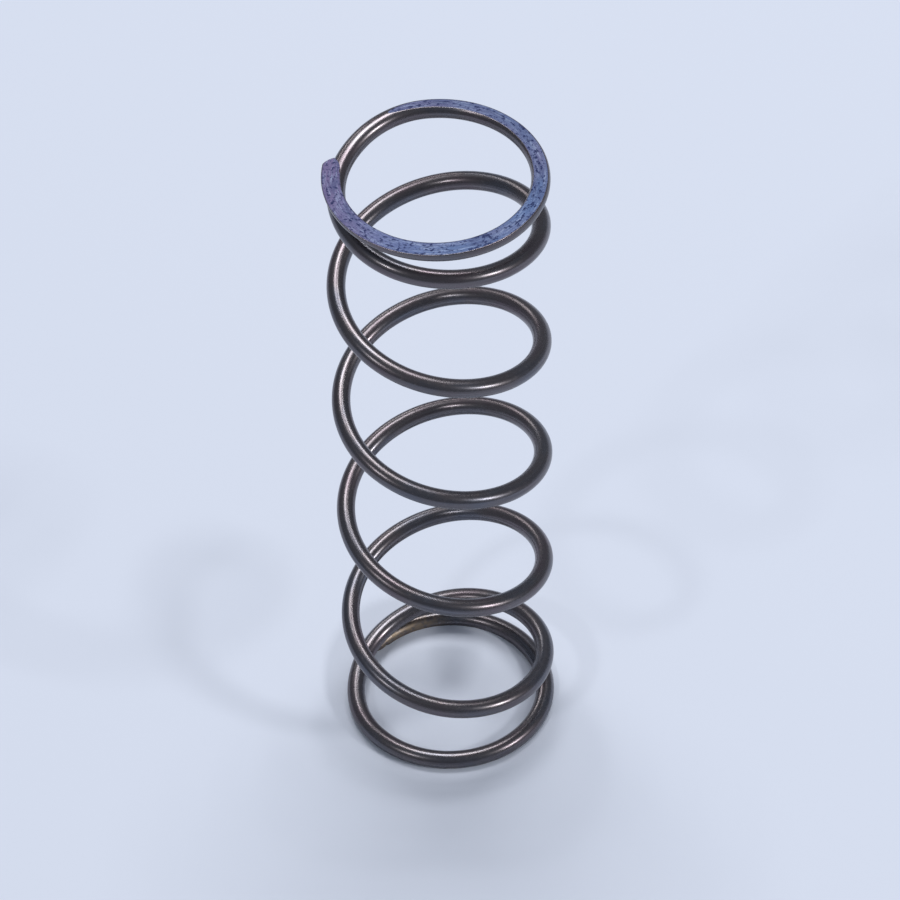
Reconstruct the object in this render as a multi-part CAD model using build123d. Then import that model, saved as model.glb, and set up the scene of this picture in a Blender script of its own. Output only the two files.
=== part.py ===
from build123d import *
import math
import os

# Compression spring, one piece of round wire, left-hand wound, closed and ground ends.
# Frame: millimetres, +Z up along the coil axis, origin on the axis at the lower ground face.
# Angles are measured counter-clockwise from +X seen from above. The wire is followed from
# its upper tip down to its lower tip, so the angle grows while the height falls.

WIRE_D = 2.0            # round wire
MEAN_D = 21.6           # mean coil diameter
FREE_LENGTH = 81.0      # between the two ground faces
TIP_TOP_DEG = 164.0     # where the wire ends at the top
TIP_BOTTOM_DEG = 2666.0 # where it ends at the bottom (6.95 turns in all)
TIP_LEVEL = 0.054       # how far the wire's centre passes a ground face at its tip

# Slope of the end coils, as fall per turn over the mean radius, against degrees from the tip.
# The last coil lies almost flat, opens past the tip that rests on it, and runs into the
# constant pitch of the active coils. The bottom end opens a little faster than the top.
SLOPE_TOP = [(0, .06), (60, .17), (100, .17), (140, .09), (200, .05), (250, .06), (290, .10),
             (312, .40), (335, .74), (430, .74), (470, .86), (520, 1.20), (570, 1.55)]
SLOPE_BOTTOM = [(0, .06), (60, .17), (100, .17), (140, .09), (200, .05), (250, .06), (290, .10),
                (312, .40), (335, .70), (360, .90), (380, 1.13), (400, 1.17), (430, 1.05),
                (560, 1.00), (590, 1.15), (620, 1.50)]
OPEN_TOP_DEG = 600.0    # degrees from the tip to the first fully open pitch
OPEN_BOTTOM_DEG = 640.0

# Coil radius over the mean radius. The coil next to each tip is drawn in a little, so the
# tip sits slightly proud of it.
RADIUS = [(TIP_TOP_DEG, 1.005), (235, 1.005), (290, 1.0), (455, 1.0), (512, .962), (545, .962),
          (615, 1.0), (2215, 1.0), (2285, .962), (2318, .962), (2375, 1.0),
          (2540, 1.0), (2595, 1.005), (TIP_BOTTOM_DEG, 1.005)]

POINT_R = 2.1           # the tip's two cutting edges
TIP_HALF = 1.03         # and half the width they leave at the root of the point
TIP_BACK = 0.03         # how far behind the raw end the point begins
SLEEVE = 0.025

POINT_STEP_DEG = 15.0   # spacing of the points the wire's centre line runs through
SPANS = 34              # the sweep is divided into this many faces

R0 = MEAN_D / 2
r = WIRE_D / 2


def area(knots, a, b):
    """Integral of a piecewise-linear table from a to b (degrees), in table units x turns."""
    total, n = 0.0, max(2, int((b - a) / 0.25))
    prev = lookup(knots, a)
    for i in range(1, n + 1):
        cur = lookup(knots, a + (b - a) * i / n)
        total += (prev + cur) / 2 * (b - a) / n / 360
        prev = cur
    return total


def lookup(knots, x):
    if x <= knots[0][0]:
        return knots[0][1]
    for (x0, y0), (x1, y1) in zip(knots, knots[1:]):
        if x <= x1:
            return y0 + (y1 - y0) * (x - x0) / (x1 - x0)
    return knots[-1][1]


def smooth(knots, x):
    """As lookup, with an S-shaped step between neighbouring values."""
    if x <= knots[0][0]:
        return knots[0][1]
    for (x0, y0), (x1, y1) in zip(knots, knots[1:]):
        if x <= x1:
            u = (x - x0) / (x1 - x0)
            return y0 + (y1 - y0) * u * u * (3 - 2 * u)
    return knots[-1][1]


# The pitch that makes the two ends and the active coils add up to the free length. The last
# slope of each end table depends on it, so it is found by a short iteration.
first_open = TIP_TOP_DEG + OPEN_TOP_DEG
last_open = TIP_BOTTOM_DEG - OPEN_BOTTOM_DEG
active_turns = (last_open - first_open) / 360
pitch = 1.6
for _ in range(30):
    top = SLOPE_TOP + [(OPEN_TOP_DEG, pitch)]
    bottom = SLOPE_BOTTOM + [(OPEN_BOTTOM_DEG, pitch)]
    drop_top = area(top, 0, OPEN_TOP_DEG) - TIP_LEVEL / R0
    drop_bottom = area(bottom, 0, OPEN_BOTTOM_DEG) - TIP_LEVEL / R0
    pitch = (FREE_LENGTH / R0 - drop_top - drop_bottom) / active_turns


def height(a):
    """Height of the wire's centre at angle a."""
    if a <= first_open:
        return FREE_LENGTH + TIP_LEVEL - R0 * area(top, 0, max(a - TIP_TOP_DEG, 0))
    if a >= last_open:
        return -TIP_LEVEL + R0 * area(bottom, 0, max(TIP_BOTTOM_DEG - a, 0))
    return FREE_LENGTH - R0 * (drop_top + pitch * (a - first_open) / 360)


def centre(a):
    q = R0 * smooth(RADIUS, a)
    t = math.radians(a)
    return Vector(q * math.cos(t), q * math.sin(t), height(a))


n = round((TIP_BOTTOM_DEG - TIP_TOP_DEG) / POINT_STEP_DEG)
points = [centre(TIP_TOP_DEG + (TIP_BOTTOM_DEG - TIP_TOP_DEG) * i / n) for i in range(n + 1)]
curve = Spline(*points)
path = Wire([curve.trim(i / SPANS, (i + 1) / SPANS) for i in range(SPANS)])
section = Plane(origin=path @ 0, z_dir=path % 0) * Circle(r)
wire = sweep(section, path=path, is_frenet=False)

length = path.length
print("wire length", round(length, 2), "volume", round(wire.volume, 2),
      "section x length", round(math.pi * r * r * length, 2), "pitch", round(pitch * R0, 3))


# Each tip is pinched to a blunt point in plan, as the shears leave it: two upright cutting
# edges of twice the wire's radius that meet on the wire's centre line. The cutter is held to
# a sleeve round the tip, so it stays clear of the coil that the tip lies on.
def point_cutter(a_tip, inward, z_tip):
    t = math.radians(a_tip)
    q = R0 * smooth(RADIUS, a_tip)
    along = Vector(-math.sin(t), math.cos(t), 0) * inward      # from the tip into the wire
    out = Vector(math.cos(t), math.sin(t), 0)
    root = Vector(q * math.cos(t), q * math.sin(t), z_tip) + along * TIP_BACK
    base = math.sqrt(POINT_R ** 2 - (POINT_R - TIP_HALF) ** 2)
    o = root + along * base
    arch = None
    for s in (1, -1):
        m = o + out * s * (POINT_R - TIP_HALF)
        cyl = Pos(m.X, m.Y, z_tip) * Cylinder(POINT_R, 6 * r)
        arch = cyl if arch is None else arch & cyl
    # behind the arch's widest line the wire is left whole
    span = math.degrees(math.asin((base + TIP_BACK) / q))
    start = a_tip - 3.0 if inward > 0 else a_tip - span
    sleeve = Rot(0, 0, start) * Torus(q, r + SLEEVE, major_angle=span + 3.0, align=None)
    return Pos(0, 0, z_tip) * sleeve - arch


big = 4 * MEAN_D
keep = Pos(0, 0, FREE_LENGTH / 2) * Box(big, big, FREE_LENGTH)
spring = wire & keep
spring = spring - point_cutter(TIP_TOP_DEG, 1, height(TIP_TOP_DEG + 4))
spring = spring - point_cutter(TIP_BOTTOM_DEG, -1, height(TIP_BOTTOM_DEG - 4))

solids = spring.solids()
print("solids", [round(s.volume, 3) for s in solids])
body = max(solids, key=lambda s: s.volume)

os.makedirs("parts", exist_ok=True)
export_step(body, "parts/spring_wire.step")
bb = body.bounding_box()
print("box", bb.min, bb.max, "volume", round(body.volume, 2), "valid", body.is_valid)
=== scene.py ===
import math

import bpy
import numpy as np
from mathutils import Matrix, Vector


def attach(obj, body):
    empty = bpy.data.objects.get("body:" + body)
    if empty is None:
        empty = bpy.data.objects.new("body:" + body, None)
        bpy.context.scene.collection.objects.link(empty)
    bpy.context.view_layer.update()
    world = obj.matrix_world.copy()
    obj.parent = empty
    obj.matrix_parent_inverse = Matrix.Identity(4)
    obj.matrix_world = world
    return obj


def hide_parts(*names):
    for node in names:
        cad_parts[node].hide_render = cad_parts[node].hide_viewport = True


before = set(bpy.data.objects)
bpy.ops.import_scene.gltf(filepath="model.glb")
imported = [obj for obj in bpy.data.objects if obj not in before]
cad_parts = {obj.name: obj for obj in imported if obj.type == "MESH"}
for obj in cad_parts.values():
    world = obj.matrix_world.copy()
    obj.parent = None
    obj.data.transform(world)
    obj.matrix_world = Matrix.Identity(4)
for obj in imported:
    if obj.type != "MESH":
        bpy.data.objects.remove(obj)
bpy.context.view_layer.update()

# ---------------------------------------------------------------------------------------
# The coil. Millimetres here, metres in Blender. Angles run counter-clockwise from +X seen
# from above, and the wire is followed from its upper tip down to its lower tip.
# ---------------------------------------------------------------------------------------
WIRE_R = 1.0
MEAN_R = 10.8
FREE_LENGTH = 81.0
TIP_TOP = 164.0
TIP_BOTTOM = 2666.0
TIP_LEVEL = 0.054
OPEN_TOP = 600.0
OPEN_BOTTOM = 640.0
SLOPE_TOP = [(0, .06), (60, .17), (100, .17), (140, .09), (200, .05), (250, .06), (290, .10),
             (312, .40), (335, .74), (430, .74), (470, .86), (520, 1.20), (570, 1.55)]
SLOPE_BOTTOM = [(0, .06), (60, .17), (100, .17), (140, .09), (200, .05), (250, .06), (290, .10),
                (312, .40), (335, .70), (360, .90), (380, 1.13), (400, 1.17), (430, 1.05),
                (560, 1.00), (590, 1.15), (620, 1.50)]
RADIUS = [(TIP_TOP, 1.005), (235, 1.005), (290, 1.0), (455, 1.0), (512, .962), (545, .962),
          (615, 1.0), (2215, 1.0), (2285, .962), (2318, .962), (2375, 1.0),
          (2540, 1.0), (2595, 1.005), (TIP_BOTTOM, 1.005)]
POINT_R = 2.1      # the two upright cuts that bring each tip to a point
TIP_HALF = 1.03
TIP_BACK = 0.03
EDGE = 0.045       # width of the broken edge round a ground face


def integral(knots, upto):
    """Area under a piecewise-linear table from 0 to each value of upto, in turns."""
    x = np.array([k[0] for k in knots], float)
    y = np.array([k[1] for k in knots], float)
    whole = np.concatenate([[0], np.cumsum((y[1:] + y[:-1]) / 2 * np.diff(x))])
    upto = np.clip(upto, x[0], x[-1])
    i = np.clip(np.searchsorted(x, upto, "right") - 1, 0, len(x) - 2)
    d = upto - x[i]
    slope = (y[i + 1] - y[i]) / (x[i + 1] - x[i])
    return (whole[i] + y[i] * d + slope * d * d / 2) / 360


pitch = 1.6
first_open, last_open = TIP_TOP + OPEN_TOP, TIP_BOTTOM - OPEN_BOTTOM
for _ in range(60):
    top_table = SLOPE_TOP + [(OPEN_TOP, pitch)]
    bottom_table = SLOPE_BOTTOM + [(OPEN_BOTTOM, pitch)]
    drop_top = integral(top_table, OPEN_TOP) - TIP_LEVEL / MEAN_R
    drop_bottom = integral(bottom_table, OPEN_BOTTOM) - TIP_LEVEL / MEAN_R
    pitch = float((FREE_LENGTH / MEAN_R - drop_top - drop_bottom) / ((last_open - first_open) / 360))


def height(a):
    a = np.asarray(a, float)
    top = FREE_LENGTH + TIP_LEVEL - MEAN_R * integral(top_table, a - TIP_TOP)
    bottom = -TIP_LEVEL + MEAN_R * integral(bottom_table, TIP_BOTTOM - a)
    mid = FREE_LENGTH - MEAN_R * (drop_top + pitch * (a - first_open) / 360)
    return np.where(a <= first_open, top, np.where(a >= last_open, bottom, mid))


def radius(a):
    a = np.asarray(a, float)
    x = np.array([k[0] for k in RADIUS])
    y = np.array([k[1] for k in RADIUS])
    i = np.clip(np.searchsorted(x, a, "right") - 1, 0, len(x) - 2)
    u = np.clip((a - x[i]) / (x[i + 1] - x[i]), 0, 1)
    return MEAN_R * (y[i] + (y[i + 1] - y[i]) * u * u * (3 - 2 * u))


def ease(x, a, b):
    u = min(max((x - a) / (b - a), 0.0), 1.0)
    return u * u * (3 - 2 * u)


def tip_limits(a, a_tip, inward):
    """How far the section at angle a reaches inwards and outwards between the tip's two cuts."""
    t = math.radians(a_tip)
    q = float(radius(a_tip))
    along = np.array([-math.sin(t), math.cos(t)]) * inward
    out = np.array([math.cos(t), math.sin(t)])
    root = out * q + along * TIP_BACK
    o = root + along * math.sqrt(POINT_R ** 2 - (POINT_R - TIP_HALF) ** 2)
    d = np.array([math.cos(math.radians(a)), math.sin(math.radians(a))])
    low, high = -9.0, 99.0
    for s in (1, -1):
        m = o + out * s * (POINT_R - TIP_HALF)
        b = float(d @ m)
        disc = b * b - float(m @ m) + POINT_R ** 2
        if disc <= 0:
            return 0.0, 0.0
        low, high = max(low, b - math.sqrt(disc)), min(high, b + math.sqrt(disc))
    here = float(radius(a))
    return here - low, high - here


# One half of a section, followed from the middle of its upper side to the middle of its
# lower side: N_FLAT steps, a broken edge of two steps, N_SIDE steps, another broken edge
# and N_FLAT steps. The ground faces and the tips' cut walls always begin at the edges.
N_FLAT, N_SIDE = 8, 8
NATURAL = math.radians(53)      # from the pole to the edge on a plain round section
EDGE_ANGLE = math.radians(6)


def half_section(flat_top, flat_bottom, wall, mix_top, mix_bottom):
    """flat_*: height of the cut above or below the centre over the wire radius, or None.
    wall: half width left by a tip's cut, or None. mix_*: 0 to 1, how far the vertices have
    spread from a cut's own edges to an even spacing. Returns points, normals and kinds."""
    r = WIRE_R

    def pole(flat, mix, walled):
        if flat is not None and flat < 1:
            beta = math.acos(max(flat, -0.999))
            c = r * math.sin(beta)
            if walled and wall < c:
                return "walled", wall, beta
            return "flat", c, beta
        if walled:
            return "round_walled", 0, math.asin(min(wall / r, 1.0))
        return "round", 0, NATURAL * mix

    walled = wall is not None
    groups = []
    for flat, mix, sign in ((flat_top, mix_top, 1), (flat_bottom, mix_bottom, -1)):
        kind, c, beta = pole(flat, mix, walled)
        pts, nrm = [], []
        if kind in ("flat", "walled"):
            h = flat * r
            e = min(EDGE, c * 0.4)
            for k in range(N_FLAT + 1):
                pts.append(((c - e) * k / N_FLAT, h))
                nrm.append((0.0, 1.0))
            if kind == "flat":
                d = min(e / r, 0.2)
                g = beta + d
                after = (r * math.sin(g), r * math.cos(g))
                n_after = (math.sin(g), math.cos(g))
            else:
                after, n_after = (c, h - e), (1.0, 0.0)
            corner = (c, h)
            inner = pts[-1]
            mid = tuple(0.25 * inner[i] + 0.5 * corner[i] + 0.25 * after[i] for i in (0, 1))
            chord = tuple((inner[i] + after[i]) / 2 for i in (0, 1))
            mid = tuple(chord[i] + (corner[i] - chord[i]) * 0.55 for i in (0, 1))
            nm = (n_after[0] + 0.0, n_after[1] + 1.0)
            ln = math.hypot(*nm) or 1
            pts += [mid, after]
            nrm += [(nm[0] / ln, nm[1] / ln), n_after]
            end = ("wall", h - e) if kind == "walled" else ("arc", beta + d)
        elif kind == "round":
            step = EDGE_ANGLE * mix
            for k in range(N_FLAT + 1):
                g = beta * k / N_FLAT
                pts.append((r * math.sin(g), r * math.cos(g)))
                nrm.append((math.sin(g), math.cos(g)))
            for k in (1, 2):
                g = beta + step * k / 2
                pts.append((r * math.sin(g), r * math.cos(g)))
                nrm.append((math.sin(g), math.cos(g)))
            end = ("arc", beta + step)
        else:
            d = min(EDGE, wall * 0.4) / r
            for k in range(N_FLAT + 1):
                g = (beta - d) * k / N_FLAT
                pts.append((r * math.sin(g), r * math.cos(g)))
                nrm.append((math.sin(g), math.cos(g)))
            y = r * math.cos(beta)
            inner, corner, after = pts[-1], (wall, y), (wall, y - d * r)
            chord = ((inner[0] + after[0]) / 2, (inner[1] + after[1]) / 2)
            mid = (chord[0] + (corner[0] - chord[0]) * 0.55, chord[1] + (corner[1] - chord[1]) * 0.55)
            nm = (nrm[-1][0] + 1.0, nrm[-1][1])
            ln = math.hypot(*nm)
            pts += [mid, after]
            nrm += [(nm[0] / ln, nm[1] / ln), (1.0, 0.0)]
            end = ("wall", y - d * r)
        if sign < 0:
            pts = [(x, -y) for x, y in pts]
            nrm = [(x, -y) for x, y in nrm]
            end = ("wall", -end[1]) if end[0] == "wall" else ("arc", math.pi - end[1])
        groups.append((pts, nrm, end))
    (tp, tn, te), (bp, bn, be) = groups
    side, side_n = [], []
    for k in range(1, N_SIDE):
        u = k / N_SIDE
        if te[0] == "wall" and be[0] == "wall":
            side.append((wall, te[1] + (be[1] - te[1]) * u))
            side_n.append((1.0, 0.0))
        else:
            g = te[1] + (be[1] - te[1]) * u if te[0] == be[0] == "arc" else None
            if g is None:
                p = (tp[-1][0] + (bp[-1][0] - tp[-1][0]) * u, tp[-1][1] + (bp[-1][1] - tp[-1][1]) * u)
                side.append(p)
                side_n.append((1.0, 0.0))
            else:
                side.append((r * math.sin(g), r * math.cos(g)))
                side_n.append((math.sin(g), math.cos(g)))
    return tp + side + bp[::-1], tn + side_n + bn[::-1]


HALF = 2 * (N_FLAT + 2) + N_SIDE            # steps in a half section
COUNT = 2 * HALF                            # vertices in a ring
TOP_FLAT = set(range(N_FLAT)) | set(range(COUNT - N_FLAT, COUNT))
BOTTOM_FLAT = set(range(HALF - N_FLAT, HALF + N_FLAT))

# Ring positions: close together at the tips, even along the rest of the wire.
near = [0.19 + 0.16 * k ** 1.0 for k in range(46)]
stations = [TIP_TOP + d for d in near]
rest = np.linspace(stations[-1], TIP_BOTTOM - near[-1], 1420)
stations = np.array(stations + list(rest[1:-1]) + [TIP_BOTTOM - d for d in near[::-1]])

zc = height(stations)
qc = radius(stations)
tt = np.radians(stations)
centre = np.stack([qc * np.cos(tt), qc * np.sin(tt), zc], 1)
step = 0.01
dz = (height(stations + step) - height(stations - step)) / 2
dq = (radius(stations + step) - radius(stations - step)) / 2
w = math.radians(step)
tangent = np.stack([dq * np.cos(tt) - qc * np.sin(tt) * w, dq * np.sin(tt) + qc * np.cos(tt) * w, dz], 1)
tangent /= np.linalg.norm(tangent, axis=1)[:, None]
out = np.stack([np.cos(tt), np.sin(tt), np.zeros_like(tt)], 1)
out -= (out * tangent).sum(1)[:, None] * tangent
out /= np.linalg.norm(out, axis=1)[:, None]
rise = np.cross(out, tangent)
rise *= np.sign(rise[:, 2])[:, None]
run = np.concatenate([[0], np.cumsum(np.linalg.norm(np.diff(centre, axis=0), axis=1))])

# where the upper face runs out, and where the lower one begins
top_h = (FREE_LENGTH - zc) / rise[:, 2] / WIRE_R
bot_h = zc / rise[:, 2] / WIRE_R
run_out_top = float(stations[np.argmax((top_h >= 1) & (stations > 400))])
run_in_bottom = float(stations[len(stations) - 1 - np.argmax(((bot_h >= 1) & (stations < 2430))[::-1])])

verts, norms, skin, kinds = [], [], [], []
for i, a in enumerate(stations):
    ft = float(top_h[i]) if a < run_out_top and top_h[i] < 0.9995 else None
    fb = float(bot_h[i]) if a > run_in_bottom and bot_h[i] < 0.9995 else None
    mix_t = ease(a, run_out_top, run_out_top + 26) if a >= run_out_top - 1 else 1.0
    mix_b = ease(run_in_bottom, a, a + 26) if a <= run_in_bottom + 1 else 1.0
    if a >= run_out_top - 1:
        mix_t = max(ease(a, run_out_top - 0.5, run_out_top + 26), 0.004)
    if a <= run_in_bottom + 1:
        mix_b = max(ease(-a, -run_in_bottom - 0.5, -run_in_bottom + 26), 0.004)
    limits = None
    for a_tip, inward in ((TIP_TOP, 1), (TIP_BOTTOM, -1)):
        if abs(a - a_tip) < 12:
            limits = tip_limits(a, a_tip, inward)
    halves = []
    for s in (0, 1):                     # outer side, then inner side
        wall = None
        if limits is not None:
            lim = limits[1] if s == 0 else limits[0]
            if lim < 0.997:
                wall = max(lim, 0.004)
        mt, mb = mix_t, mix_b
        if limits is not None and wall is None:
            # just behind the point the far side's vertices still gather where the cut ended
            pass
        near_tip = min(abs(a - TIP_TOP), abs(a - TIP_BOTTOM))
        if wall is None and near_tip < 40:
            spread = ease(near_tip, 7.0, 30.0)
            far = math.radians(84) / NATURAL
            if a < 400:
                mb = far + (1 - far) * spread
            else:
                mt = far + (1 - far) * spread
        halves.append(half_section(ft, fb, wall, mt, mb))
    (po, no), (pi_, ni) = halves
    ring = [(x, y) for x, y in po] + [(-x, y) for x, y in pi_[-2:0:-1]]
    rn = [(x, y) for x, y in no] + [(-x, y) for x, y in ni[-2:0:-1]]
    # past the middle of the lower side the ring comes back up the inner side
    ring = np.array(ring) * 1.0
    rn = np.array(rn)
    P = centre[i] + ring[:, :1] * out[i] + ring[:, 1:] * rise[i]
    Nn = rn[:, :1] * out[i] + rn[:, 1:] * rise[i]
    if ft is not None:
        for j in list(range(N_FLAT + 1)) + list(range(COUNT - N_FLAT, COUNT)):
            P[j, 2] = FREE_LENGTH
            Nn[j] = (0, 0, 1)
    if fb is not None:
        for j in range(HALF - N_FLAT, HALF + N_FLAT + 1):
            P[j, 2] = 0.0
            Nn[j] = (0, 0, -1)
    P[:, 2] = np.clip(P[:, 2], 0.0, FREE_LENGTH)
    verts.append(P)
    norms.append(Nn)
    skin.append(np.stack([np.full(COUNT, run[i]), ring[:, 0], ring[:, 1]], 1))
    kinds.append((ft is not None, fb is not None))

verts = np.concatenate(verts) * 0.001
norms = np.concatenate(norms)
skin = np.concatenate(skin)

# Faces: quads between rings, seen from outside; a strip of quads closes each blunt point.
faces, mat, uvs = [], [], []
ROWS = 9                                     # the wire is laid out in this many rows
row_len = run[-1] / ROWS
girth = 2 * math.pi * WIRE_R
theta = np.arange(COUNT + 1) / COUNT


def laid(i, j, row):
    return ((run[i] - row * row_len) / row_len * 0.985 + 0.007, (row + 0.03 + 0.94 * theta[j]) / ROWS)


for i in range(len(stations) - 1):
    row = min(int((run[i] + run[i + 1]) / 2 / row_len), ROWS - 1)
    for j in range(COUNT):
        k = (j + 1) % COUNT
        a0, a1 = i * COUNT + j, i * COUNT + k
        b0, b1 = a0 + COUNT, a1 + COUNT
        faces.append((a0, a1, b1, b0))
        uvs += [laid(i, j, row), laid(i, j + 1, row), laid(i + 1, j + 1, row), laid(i + 1, j, row)]
        ground = 0
        if kinds[i][0] and kinds[i + 1][0] and j in TOP_FLAT:
            ground = 1
        if kinds[i][1] and kinds[i + 1][1] and j in BOTTOM_FLAT:
            ground = 1
        mat.append(ground)
last = (len(stations) - 1) * COUNT
for base, flip in ((0, True), (last, False)):
    for j in range(HALF):
        m0, m1 = (COUNT - j) % COUNT, (COUNT - j - 1) % COUNT
        quad = [base + j, base + j + 1, base + m1, base + m0]
        quad = list(dict.fromkeys(quad))
        if len(quad) < 3:
            continue
        if flip:
            quad = quad[::-1]
        faces.append(tuple(quad))
        uvs += [(0.001, 0.001)] * len(quad)
        mat.append(0)

mesh = bpy.data.meshes.new("coil_wire")
mesh.from_pydata([tuple(v) for v in verts], [], faces)
mesh.validate(clean_customdata=False)
mesh.update()
coil = bpy.data.objects.new("coil_wire", mesh)
bpy.context.scene.collection.objects.link(coil)
mesh.polygons.foreach_set("material_index", mat)
mesh.polygons.foreach_set("use_smooth", [True] * len(mesh.polygons))
lay = mesh.attributes.new("skin", "FLOAT_VECTOR", "POINT")
lay.data.foreach_set("vector", skin.astype(np.float32).ravel())
uvl = mesh.uv_layers.new(name="OFBake")
uvl.data.foreach_set("uv", np.array(uvs, np.float32).ravel())
mesh.normals_split_custom_set_from_vertices([tuple(n) for n in norms])
print("coil", len(mesh.polygons), "faces,", sum(len(p.vertices) - 2 for p in mesh.polygons), "triangles; run-outs",
      round(run_out_top, 1), round(run_in_bottom, 1))

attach(coil, "root")
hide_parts("spring_wire")


# ---------------------------------------------------------------------------------------
# Materials
# ---------------------------------------------------------------------------------------
def material(name):
    m = bpy.data.materials.new(name)
    m.use_nodes = True
    nt = m.node_tree
    nt.nodes.clear()
    o = nt.nodes.new("ShaderNodeOutputMaterial")
    b = nt.nodes.new("ShaderNodeBsdfPrincipled")
    nt.links.new(b.outputs[0], o.inputs[0])
    return m, nt, b


class Nodes:
    def __init__(self, nt):
        self.nt = nt

    def new(self, kind, **kw):
        n = self.nt.nodes.new(kind)
        for k, v in kw.items():
            setattr(n, k, v)
        return n

    def link(self, a, b):
        self.nt.links.new(a, b)

    def skin(self, scale):
        """Position on the straightened wire, in mm, times a scale for each direction."""
        a = self.new("ShaderNodeAttribute", attribute_name="skin")
        m = self.new("ShaderNodeVectorMath", operation="MULTIPLY")
        m.inputs[1].default_value = scale
        self.link(a.outputs["Vector"], m.inputs[0])
        return m.outputs[0]

    def noise(self, vec, scale=1.0, detail=2.0, rough=0.5):
        n = self.new("ShaderNodeTexNoise")
        n.inputs["Scale"].default_value = scale
        n.inputs["Detail"].default_value = detail
        n.inputs["Roughness"].default_value = rough
        self.link(vec, n.inputs["Vector"])
        return n.outputs[0]

    def ramp(self, fac, stops):
        n = self.new("ShaderNodeValToRGB")
        e = n.color_ramp.elements
        while len(e) < len(stops):
            e.new(0.5)
        for el, (p, c) in zip(e, stops):
            el.position = p
            el.color = (*c, 1) if len(c) == 3 else c
        self.link(fac, n.inputs[0])
        return n.outputs[0]

    def mix(self, fac, a, b, blend="MIX"):
        n = self.new("ShaderNodeMix", data_type="RGBA", blend_type=blend)
        for sock, val in ((n.inputs[0], fac), (n.inputs[6], a), (n.inputs[7], b)):
            if isinstance(val, (int, float)):
                sock.default_value = val
            elif isinstance(val, tuple):
                sock.default_value = (*val, 1)
            else:
                self.link(val, sock)
        return n.outputs[2]

    def math(self, op, a, b=None, clamp=False):
        n = self.new("ShaderNodeMath", operation=op, use_clamp=clamp)
        for sock, val in ((n.inputs[0], a), (n.inputs[1], b)):
            if val is None:
                continue
            if isinstance(val, (int, float)):
                sock.default_value = val
            else:
                self.link(val, sock)
        return n.outputs[0]

    def remap(self, v, a, b, c, d):
        n = self.new("ShaderNodeMapRange")
        self.link(v, n.inputs[0])
        for k, x in zip((1, 2, 3, 4), (a, b, c, d)):
            n.inputs[k].default_value = x
        return n.outputs[0]

    def bump(self, h, strength, dist, normal=None):
        n = self.new("ShaderNodeBump")
        n.inputs["Strength"].default_value = strength
        n.inputs["Distance"].default_value = dist
        self.link(h, n.inputs["Height"])
        if normal is not None:
            self.link(normal, n.inputs["Normal"])
        return n.outputs[0]


# Oil-tempered wire: a thin dark oxide over drawn steel, with draw lines along the wire,
# a faint brown and blue cloud, small nicks, and a tan stain near the lower tip.
wire_mat, nt, bsdf = material("oil_tempered_wire")
g = Nodes(nt)
bsdf.inputs["Metallic"].default_value = 0.88
lines = g.noise(g.skin((0.10, 5.0, 5.0)), 1.0, 4.0, 0.6)
fine = g.noise(g.skin((0.6, 16.0, 16.0)), 1.0, 3.0, 0.6)
cloud = g.noise(g.skin((0.16, 0.5, 0.5)), 1.0, 3.0, 0.55)
spots = g.noise(g.skin((2.2, 2.6, 2.6)), 1.0, 3.0, 0.6)
base = g.ramp(cloud, [(0.32, (0.158, 0.132, 0.152)), (0.5, (0.158, 0.148, 0.160)), (0.68, (0.138, 0.146, 0.176))])
base = g.mix(g.remap(lines, 0.38, 0.68, 0.0, 0.50), base, (0.072, 0.060, 0.068))
base = g.mix(g.remap(spots, 0.64, 0.76, 0.0, 0.55), base, (0.26, 0.23, 0.22))
place_on = g.new("ShaderNodeSeparateXYZ")
a = g.new("ShaderNodeAttribute", attribute_name="skin")
g.link(a.outputs["Vector"], place_on.inputs[0])
stain = g.math("MULTIPLY", g.remap(place_on.outputs[0], float(run[-1]) - 11.5, float(run[-1]) - 7.5, 0.0, 1.0),
               g.remap(place_on.outputs[1], 0.1, -0.6, 0.0, 1.0))
stain = g.math("MULTIPLY", stain, g.remap(spots, 0.38, 0.58, 0.2, 0.75))
base = g.mix(stain, base, (0.29, 0.225, 0.155))
g.link(base, bsdf.inputs["Base Color"])
rough = g.math("ADD", g.remap(lines, 0.3, 0.7, 0.23, 0.33), g.remap(spots, 0.4, 0.7, -0.01, 0.03))
rough = g.math("ADD", rough, g.math("MULTIPLY", stain, 0.25))
g.link(rough, bsdf.inputs["Roughness"])
nrm = g.bump(lines, 0.14, 0.00002)
nrm = g.bump(fine, 0.05, 0.00001, nrm)
g.link(nrm, bsdf.inputs["Normal"])

# Ground ends: bare ground steel with a blue-violet temper tint, pitted and streaked, more
# violet beside the tips and bluer further round, darker at the edges of the face.
ground_mat, nt, bsdf = material("ground_face")
g = Nodes(nt)
bsdf.inputs["Metallic"].default_value = 1.0
streak = g.noise(g.skin((0.45, 4.5, 1.0)), 1.0, 4.0, 0.65)
pits = g.noise(g.skin((1.9, 2.8, 1.0)), 1.0, 4.0, 0.72)
grit = g.noise(g.skin((5.0, 6.0, 1.0)), 1.0, 3.0, 0.6)
cloud = g.noise(g.skin((0.10, 0.4, 1.0)), 1.0, 2.0, 0.5)
patch = g.noise(g.skin((0.35, 0.9, 1.0)), 1.0, 2.0, 0.5)
part = g.new("ShaderNodeSeparateXYZ")
a = g.new("ShaderNodeAttribute", attribute_name="skin")
g.link(a.outputs["Vector"], part.inputs[0])
half = g.math("POWER", g.math("MAXIMUM", g.math("SUBTRACT", 1.0, g.math("MULTIPLY", part.outputs[2], part.outputs[2])), 0.01), 0.5)
across = g.math("DIVIDE", g.math("ABSOLUTE", part.outputs[1]), half)
from_tip = g.math("MINIMUM", part.outputs[0], g.math("SUBTRACT", float(run[-1]), part.outputs[0]))
base = g.ramp(cloud, [(0.34, (0.118, 0.118, 0.215)), (0.5, (0.098, 0.124, 0.230)), (0.66, (0.088, 0.132, 0.255))])
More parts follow.
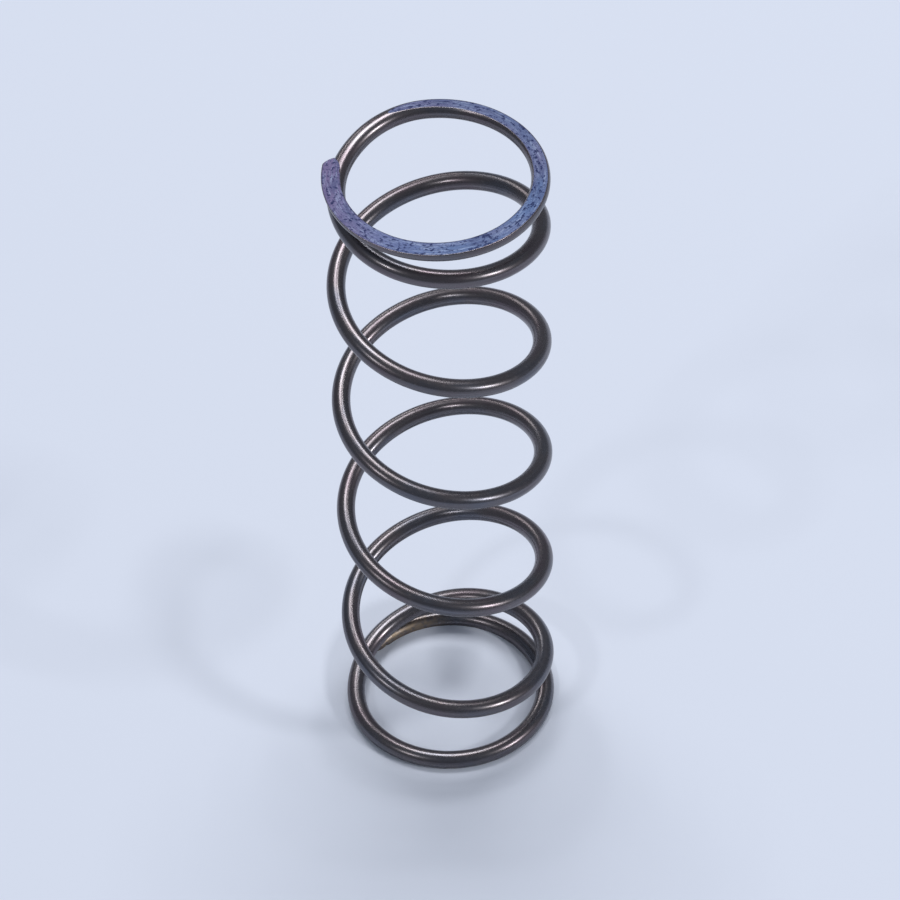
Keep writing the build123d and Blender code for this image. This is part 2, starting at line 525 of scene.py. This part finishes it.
base = g.mix(g.remap(from_tip, 3.0, 21.0, 0.85, 0.0), base, (0.132, 0.108, 0.208))
base = g.mix(g.remap(streak, 0.50, 0.70, 0.0, 0.75), base, (0.26, 0.32, 0.46))
base = g.mix(g.remap(patch, 0.50, 0.68, 0.0, 0.6), base, (0.055, 0.070, 0.150))
base = g.mix(g.remap(pits, 0.52, 0.60, 0.0, 0.9), base, (0.014, 0.020, 0.070))
base = g.mix(g.remap(grit, 0.60, 0.70, 0.0, 0.55), base, (0.03, 0.04, 0.11))
base = g.mix(g.remap(across, 0.80, 0.97, 0.0, 0.65), base, (0.045, 0.045, 0.085))
g.link(base, bsdf.inputs["Base Color"])
g.link(g.remap(pits, 0.4, 0.7, 0.38, 0.60), bsdf.inputs["Roughness"])
nrm = g.bump(streak, 0.3, 0.00002)
nrm = g.bump(pits, 0.4, -0.00003, nrm)
g.link(nrm, bsdf.inputs["Normal"])

mesh.materials.append(wire_mat)
mesh.materials.append(ground_mat)

# ---------------------------------------------------------------------------------------
# Floor, lights, camera
# ---------------------------------------------------------------------------------------
bpy.ops.mesh.primitive_plane_add(size=6.0, location=(0, 0, 0))
floor = bpy.context.object
floor.name = "floor"
fm, nt, bsdf = material("floor_paper")
bsdf.inputs["Base Color"].default_value = (0.66, 0.718, 0.835, 1)
bsdf.inputs["Roughness"].default_value = 0.9
bsdf.inputs["Specular IOR Level"].default_value = 0.1
floor.data.materials.append(fm)

TARGET = Vector((0, 0, 0.040))


def softbox(name, azimuth, elevation, distance, size, power, color=(1, 1, 1), size_y=None):
    """A rectangular lamp. Azimuth 0 is the camera's side (-Y), positive to its right."""
    data = bpy.data.lights.new(name, "AREA")
    data.shape = "RECTANGLE"
    data.size, data.size_y = size, size_y or size
    data.energy = power
    data.color = color
    ob = bpy.data.objects.new(name, data)
    a, e = math.radians(azimuth), math.radians(elevation)
    d = Vector((math.sin(a) * math.cos(e), -math.cos(a) * math.cos(e), math.sin(e)))
    ob.location = TARGET + d * distance
    ob.rotation_euler = d.to_track_quat("Z", "Y").to_euler()
    bpy.context.scene.collection.objects.link(ob)
    return ob


softbox("key_right", 66, 30, 1.2, 0.20, 4.6, (1.0, 0.98, 0.96), 0.15)
softbox("fill_left", -44, 42, 1.2, 0.11, 1.5, (1.0, 0.99, 0.98), 0.10)
softbox("overhead", 178, 69, 1.3, 0.80, 12.0, (1.0, 0.98, 0.97), 0.44)
softbox("back_left", -152, 28, 1.4, 0.35, 1.2, (1.0, 0.96, 0.92), 0.22)

world = bpy.data.worlds.new("studio")
bpy.context.scene.world = world
world.use_nodes = True
bg = world.node_tree.nodes["Background"]
bg.inputs[0].default_value = (0.62, 0.68, 0.80, 1)
bg.inputs[1].default_value = 0.26

cam_data = bpy.data.cameras.new("camera")
cam = bpy.data.objects.new("camera", cam_data)
bpy.context.scene.collection.objects.link(cam)
bpy.context.scene.camera = cam
e, roll = math.radians(46.697), math.radians(-1.456)
fwd = Vector((0, math.cos(e), -math.sin(e)))
right0, up0 = Vector((1, 0, 0)), Vector((0, math.sin(e), math.cos(e)))
r2 = right0 * math.cos(roll) + up0 * math.sin(roll)
u2 = -right0 * math.sin(roll) + up0 * math.cos(roll)
aim = Vector((0, 0, 0.03456))
place = aim - fwd * 0.6264 - r2 * (-0.059 * 0.0108) - u2 * (-0.328 * 0.0108)
from mathutils import Matrix
cam.matrix_world = Matrix(((r2.x, u2.x, -fwd.x, place.x), (r2.y, u2.y, -fwd.y, place.y),
                           (r2.z, u2.z, -fwd.z, place.z), (0, 0, 0, 1)))
cam_data.sensor_width = 36.0
cam_data.lens = 230.35
cam_data.clip_start, cam_data.clip_end = 0.05, 20.0

scene = bpy.context.scene
scene.view_settings.view_transform = "Standard"
scene.view_settings.look = "None"
scene.view_settings.exposure = 0.0
scene.view_settings.gamma = 1.0

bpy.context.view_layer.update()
